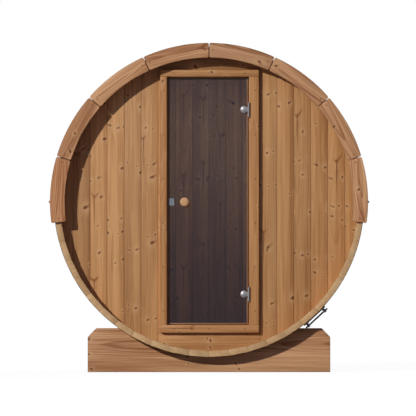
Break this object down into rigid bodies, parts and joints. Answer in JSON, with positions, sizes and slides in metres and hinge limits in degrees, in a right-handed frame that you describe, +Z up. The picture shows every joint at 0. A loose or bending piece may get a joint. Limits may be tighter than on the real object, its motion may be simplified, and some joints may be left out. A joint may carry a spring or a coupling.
{
  "type": "barrel sauna",
  "caption": "Round wooden barrel sauna that lies on two cradles, with a hinged tinted glass door in a recessed board front, an arched trim and steel hoops.",
  "frame": {"origin": "on the ground, midway between the two cradles, under the barrel's axis", "axes": "+Z up; the barrel's axis runs along Y; the door faces -Y and +X is to the right of a person who faces the door"},
  "size_m": [2.0782, 1.856, 2.1319],
  "materials": {
    "stave_wood": "planed, oiled, pale",
    "wall_wood": "planed, oiled",
    "trim_wood": "planed, oiled",
    "frame_wood": "planed, oiled",
    "floor_wood": "planed, bare",
    "knob_wood": "turned, smooth",
    "hoop_steel": "satin",
    "rod_steel": "dark satin",
    "hinge_steel": "satin",
    "tinted_glass": "clear, dark tint"
  },
  "bodies": {
    "cabin": {"staves_top_right": "stave_wood", "staves_upper_right": "stave_wood", "staves_lower_right": "stave_wood", "staves_bottom_right": "stave_wood", "staves_bottom_left": "stave_wood", "staves_lower_left": "stave_wood", "staves_upper_left": "stave_wood", "staves_top_left": "stave_wood", "front_arch_left": "trim_wood", "front_arch_right": "trim_wood", "rear_arch_left": "trim_wood", "rear_arch_right": "trim_wood", "front_cradle": "trim_wood", "rear_cradle": "trim_wood", "side_batten_left": "trim_wood", "side_batten_right": "trim_wood", "front_hoop": "hoop_steel", "rear_hoop": "hoop_steel", "front_tensioner": "rod_steel", "rear_tensioner": "rod_steel", "front_wall_left": "wall_wood", "front_wall_right": "wall_wood", "front_wall_above_door": "wall_wood", "front_wall_below_door": "wall_wood", "rear_wall_left": "wall_wood", "rear_wall_right": "wall_wood", "door_jamb_left": "frame_wood", "door_jamb_right": "frame_wood", "door_head": "frame_wood", "door_sill": "frame_wood", "floor_slats": "floor_wood", "floor_bearers": "floor_wood", "upper_hinge_plate": "hinge_steel", "lower_hinge_plate": "hinge_steel", "latch_keeper": "hinge_steel"},
    "door": {"door_glass": "tinted_glass", "door_knob_outside": "knob_wood", "door_knob_inside": "knob_wood", "upper_hinge_clamp": "hinge_steel", "lower_hinge_clamp": "hinge_steel", "latch_plate": "hinge_steel"}
  },
  "joints": [
    {"name": "door_hinge", "type": "hinge", "parent": "cabin", "child": "door", "pos_m": [0.256, -0.854, 1.103], "axis": [0, 0, 1], "range_deg": [0, 110]}
  ]
}
